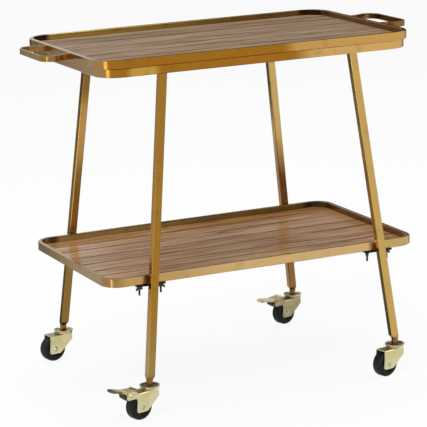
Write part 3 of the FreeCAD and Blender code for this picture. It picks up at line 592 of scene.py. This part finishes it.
def stud_places():
    """Plan position of every stud: two at each bracket, in the middle of the shelf rail."""
    rail_low, rail_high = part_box("shelf_rail")
    places = []
    for key in CORNERS:
        low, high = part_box("shelf_bracket_" + key)
        inset = RAIL_MIDDLE * MM
        y = rail_low.y + inset if key.startswith("f") else rail_high.y - inset
        middle = (low.x + high.x) / 2
        places += [(middle - STUD_REACH * MM, y), (middle + STUD_REACH * MM, y)]
    return places


deck_planks("tray", TRAY_BOARDS, TRAY_TONES, TRAY_CORNER, "tray", TRAY_WOOD, 3)
deck_planks("shelf", SHELF_BOARDS, SHELF_TONES, SHELF_CORNER, "cart", SHELF_WOOD, 11)
threaded_studs()
for key in CORNERS:
    wheel_tyre(key)


# ---------------------------------------------------------------- studio
FLOOR_OWN_WHITE = 0.9     # share of the floor that is its own white to the eye
WORLD_LIGHT = 0.55        # strength of the world on matt surfaces; 1 where it is seen
CAMERA_PLACE = (-2.2291, -4.7058, 1.5972)
CAMERA_TURN = (-25.07, -13.07, -1.73)      # yaw, pitch and roll in degrees
CAMERA_LENS = 184.69


def soft_panel(name, place, aim, size, power):
    """Rectangular soft light looking at a point."""
    light = bpy.data.lights.new(name, "AREA")
    light.shape = "RECTANGLE"
    light.size, light.size_y = size
    light.energy = power
    holder = bpy.data.objects.new(name, light)
    holder.location = place
    holder.rotation_euler = (Vector(aim) - Vector(place)).to_track_quat("-Z", "Y").to_euler()
    holder.visible_camera = False
    bpy.context.scene.collection.objects.link(holder)


def dark_flag(name, corner, across, up):
    """Black card that only shiny surfaces see: a corner and the two sides from it."""
    start = Vector(corner)
    along = Vector(across)
    rise = Vector(up)
    mesh = bpy.data.meshes.new(name)
    mesh.from_pydata([start, start + along, start + along + rise, start + rise], [],
                     [(0, 1, 2, 3)])
    card = bpy.data.objects.new(name, mesh)
    card.visible_camera = False
    card.visible_diffuse = False
    card.visible_shadow = False
    bpy.context.scene.collection.objects.link(card)
    mesh.materials.append(FLAG_BLACK)


def seen_directly(tree):
    """1 where a camera, glossy or see-through ray looks, 0 for the light on matt surfaces."""
    rays = tree.nodes.new("ShaderNodeLightPath")
    seen = rays.outputs["Is Camera Ray"]
    for other in ("Is Glossy Ray", "Is Transmission Ray"):
        either = tree.nodes.new("ShaderNodeMath")
        either.operation = "MAXIMUM"
        tree.links.new(seen, either.inputs[0])
        tree.links.new(rays.outputs[other], either.inputs[1])
        seen = either.outputs[0]
    return seen


def studio_world():
    """Even light for the surfaces; plain white where the camera or a gloss looks."""
    world = bpy.data.worlds.new("studio")
    world.use_nodes = True
    tree = world.node_tree
    level = tree.nodes.new("ShaderNodeMapRange")
    tree.links.new(seen_directly(tree), level.inputs["Value"])
    level.inputs["To Min"].default_value = WORLD_LIGHT
    level.inputs["To Max"].default_value = 1.0
    tree.nodes["Background"].inputs["Color"].default_value = (1, 1, 1, 1)
    tree.links.new(level.outputs[0], tree.nodes["Background"].inputs["Strength"])
    bpy.context.scene.world = world


def floor():
    """White sweep: mostly its own white to the eye, with the cart's soft shadow kept."""
    half = 30.0
    mesh = bpy.data.meshes.new("studio_floor")
    mesh.from_pydata([(-half, -half, 0), (half, -half, 0), (half, half, 0), (-half, half, 0)],
                     [], [(0, 1, 2, 3)])
    sweep = bpy.data.objects.new("studio_floor", mesh)
    bpy.context.scene.collection.objects.link(sweep)
    material = bpy.data.materials.new("floor_white")
    material.use_nodes = True
    tree = material.node_tree
    tree.nodes.clear()
    matte = tree.nodes.new("ShaderNodeBsdfDiffuse")
    matte.inputs["Color"].default_value = (0.86, 0.86, 0.86, 1)
    share = tree.nodes.new("ShaderNodeMath")
    share.operation = "MULTIPLY"
    share.inputs[1].default_value = FLOOR_OWN_WHITE
    tree.links.new(seen_directly(tree), share.inputs[0])
    blend = tree.nodes.new("ShaderNodeMixShader")
    tree.links.new(share.outputs[0], blend.inputs[0])
    tree.links.new(matte.outputs[0], blend.inputs[1])
    tree.links.new(tree.nodes.new("ShaderNodeEmission").outputs[0], blend.inputs[2])
    output = tree.nodes.new("ShaderNodeOutputMaterial")
    tree.links.new(blend.outputs[0], output.inputs["Surface"])
    mesh.materials.append(material)


def camera():
    """Long lens from the front left, a little above the tray."""
    yaw, pitch, roll = (math.radians(angle) for angle in CAMERA_TURN)
    ahead = Vector((-math.sin(yaw) * math.cos(pitch), math.cos(yaw) * math.cos(pitch),
                    math.sin(pitch)))
    right = ahead.cross(Vector((0, 0, 1))).normalized()
    up = right.cross(ahead)
    tilted_right = right * math.cos(roll) + up * math.sin(roll)
    tilted_up = up * math.cos(roll) - right * math.sin(roll)
    data = bpy.data.cameras.new("product_camera")
    data.lens = CAMERA_LENS
    data.clip_end = 100
    holder = bpy.data.objects.new("product_camera", data)
    turn = Matrix((tilted_right, tilted_up, -ahead)).transposed()
    holder.matrix_world = Matrix.Translation(CAMERA_PLACE) @ turn.to_4x4()
    bpy.context.scene.collection.objects.link(holder)
    bpy.context.scene.camera = holder


soft_panel("key_panel", (-2.6, -2.6, 3.6), (0, 0, 0.4), (2.4, 2.4), 90)
soft_panel("fill_panel", (3.2, -2.4, 2.2), (0, 0, 0.4), (2.6, 2.0), 45)
soft_panel("top_panel", (0.3, 1.2, 4.0), (0, 0, 0.4), (3.0, 2.0), 60)
soft_panel("strip_panel", (-1.5, -0.85, 0.32), (0, 0, 0.32), (0.16, 0.64), 3)
dark_flag("flag_back", (0.95, 3.1, 0.95), (3.2, -1.2, 0), (0, 0, 3.0))
dark_flag("flag_side", (-1.08, 1.8, 0.0), (0.85, 0.35, 0), (0, 0, 0.7))
# These cards lie on the floor and only shiny surfaces see them: painted dark reflections of the floor under and
# round the cart.
dark_flag("flag_floor_front", (0.143, -0.2, 0.002), (0.19, 0, 0), (-0.233, 0.5, 0))
dark_flag("flag_floor_back", (-0.39, 0.3, 0.002), (0.5, 0, 0), (-0.98, 2.1, 0))
dark_flag("flag_floor_right", (0.8, 0.4, 0.002), (4.0, 0, 0), (1.0, 4.0, 0))
studio_world()
floor()
camera()
bpy.context.scene.view_settings.view_transform = "Standard"
